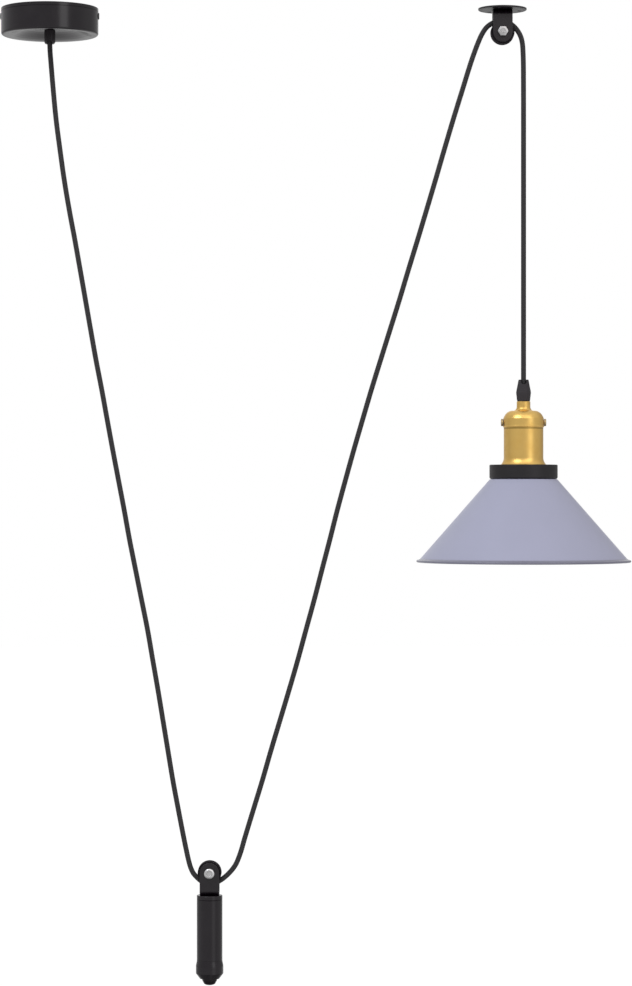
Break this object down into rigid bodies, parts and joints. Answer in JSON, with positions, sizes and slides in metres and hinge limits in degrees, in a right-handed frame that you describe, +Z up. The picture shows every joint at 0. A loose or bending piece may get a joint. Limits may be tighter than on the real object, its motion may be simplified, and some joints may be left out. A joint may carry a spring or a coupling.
{
  "type": "rise and fall pendant lamp",
  "caption": "Rise and fall pendant: a cone-shaded lamp and a slim counterweight balance on one cord that runs from a ceiling rose, round the weight's wheel and over a ceiling pulley.",
  "frame": {"origin": "centre of the ceiling rose, on the ceiling plane", "axes": "+Z up, out of the ceiling face; +X from the rose to the ceiling pulley and the lamp; the cord, the weight and the lamp lie in the plane Y = 0, seen from -Y"},
  "size_m": [0.6567, 0.2232, 1.0172],
  "materials": {
    "black_enamel": "gloss black enamel",
    "bracket_black": "black enamel",
    "weight_black": "satin black enamel",
    "wheel_black": "black, turned",
    "black_plastic": "black, moulded",
    "ring_black": "black, moulded",
    "brass": "polished",
    "bush_brass": "plain turned",
    "steel": "bright zinc plate",
    "core_steel": "plain bar",
    "shade_lacquer": "grey-lilac satin lacquer",
    "white_plastic": "white, moulded",
    "porcelain": "white glaze",
    "brown_core": "brown insulation",
    "blue_core": "blue insulation",
    "green_core": "green and yellow insulation",
    "cord_black": "black braid"
  },
  "bodies": {
    "ceiling_fixings": {"rose_bracket": "steel", "rose_cup": "black_enamel", "rose_side_screws": "black_enamel", "rose_nipple": "steel", "rose_nut": "steel", "rose_cord_grip": "black_plastic", "terminal_block": "white_plastic", "terminal_inserts": "brass", "terminal_screws": "steel", "terminal_fixing_screw": "steel", "earth_screw": "brass", "rose_core_live": "brown_core", "rose_core_neutral": "blue_core", "rose_core_earth": "green_core", "pulley_plate": "bracket_black", "pulley_strap": "bracket_black", "pulley_rivet": "bracket_black", "pulley_axle_bolt": "steel", "pulley_axle_nut": "steel", "pulley_axle_washers": "steel", "cord_to_weight": "cord_black", "cord_to_pulley": "cord_black", "cord_over_ceiling_wheel": "cord_black", "cord_to_lamp": "cord_black"},
    "ceiling_wheel": {"ceiling_wheel": "wheel_black", "ceiling_wheel_bush": "bush_brass"},
    "counterweight": {"weight_strap": "bracket_black", "weight_strap_screw": "steel", "weight_axle_pin": "steel", "weight_axle_nut": "steel", "weight_axle_washers": "steel", "weight_top_cap": "weight_black", "weight_sleeve": "weight_black", "weight_core": "core_steel", "weight_end_cap": "weight_black", "weight_knob": "weight_black", "cord_round_weight_wheel": "cord_black"},
    "weight_wheel": {"weight_wheel": "wheel_black", "weight_wheel_bush": "bush_brass"},
    "lamp": {"lamp_cord_grip": "black_plastic", "lamp_nipple": "brass", "lamp_nipple_nut": "steel", "lamp_earth_tag": "brass", "holder_cap": "brass", "holder_side_screws": "brass", "holder_shell": "brass", "holder_skirt": "ring_black", "socket_insert": "porcelain", "screw_shell": "brass", "lamp_terminals": "brass", "lamp_terminal_screws": "steel", "lamp_core_live": "brown_core", "lamp_core_neutral": "blue_core", "lamp_core_earth": "green_core", "shade_ring": "ring_black", "shade": "shade_lacquer", "shade_nut": "ring_black"},
    "contact": {"centre_contact": "brass", "contact_spring": "steel"}
  },
  "joints": [
    {"name": "lamp_rise", "type": "slide", "parent": "ceiling_fixings", "child": "lamp", "axis": [0, 0, 1], "range_m": [-0.6, 0.25], "deforming": ["cord_to_lamp"]},
    {"name": "weight_rise", "type": "slide", "parent": "ceiling_fixings", "child": "counterweight", "axis": [0, 0, 1], "range_m": [-0.13, 0.31], "deforming": ["cord_to_weight", "cord_to_pulley"]},
    {"name": "ceiling_wheel_spin", "type": "hinge", "parent": "ceiling_fixings", "child": "ceiling_wheel", "pos_m": [0.4715, 0, -0.025], "axis": [0, 1, 0], "continuous": true},
    {"name": "weight_wheel_spin", "type": "hinge", "parent": "counterweight", "child": "weight_wheel", "pos_m": [0.1665, 0, -0.9], "axis": [0, 1, 0], "continuous": true},
    {"name": "contact_press", "type": "slide", "parent": "lamp", "child": "contact", "axis": [0, 0, 1], "range_m": [0, 0.0015], "stiffness_N_per_m": 500, "deforming": ["contact_spring"]}
  ],
  "couplings": [
    {"joint": "weight_rise", "follows": "lamp_rise", "ratio": -0.516},
    {"joint": "ceiling_wheel_spin", "follows": "lamp_rise", "rad_per_m": -85.5},
    {"joint": "weight_wheel_spin", "follows": "lamp_rise", "rad_per_m": 43.4}
  ]
}
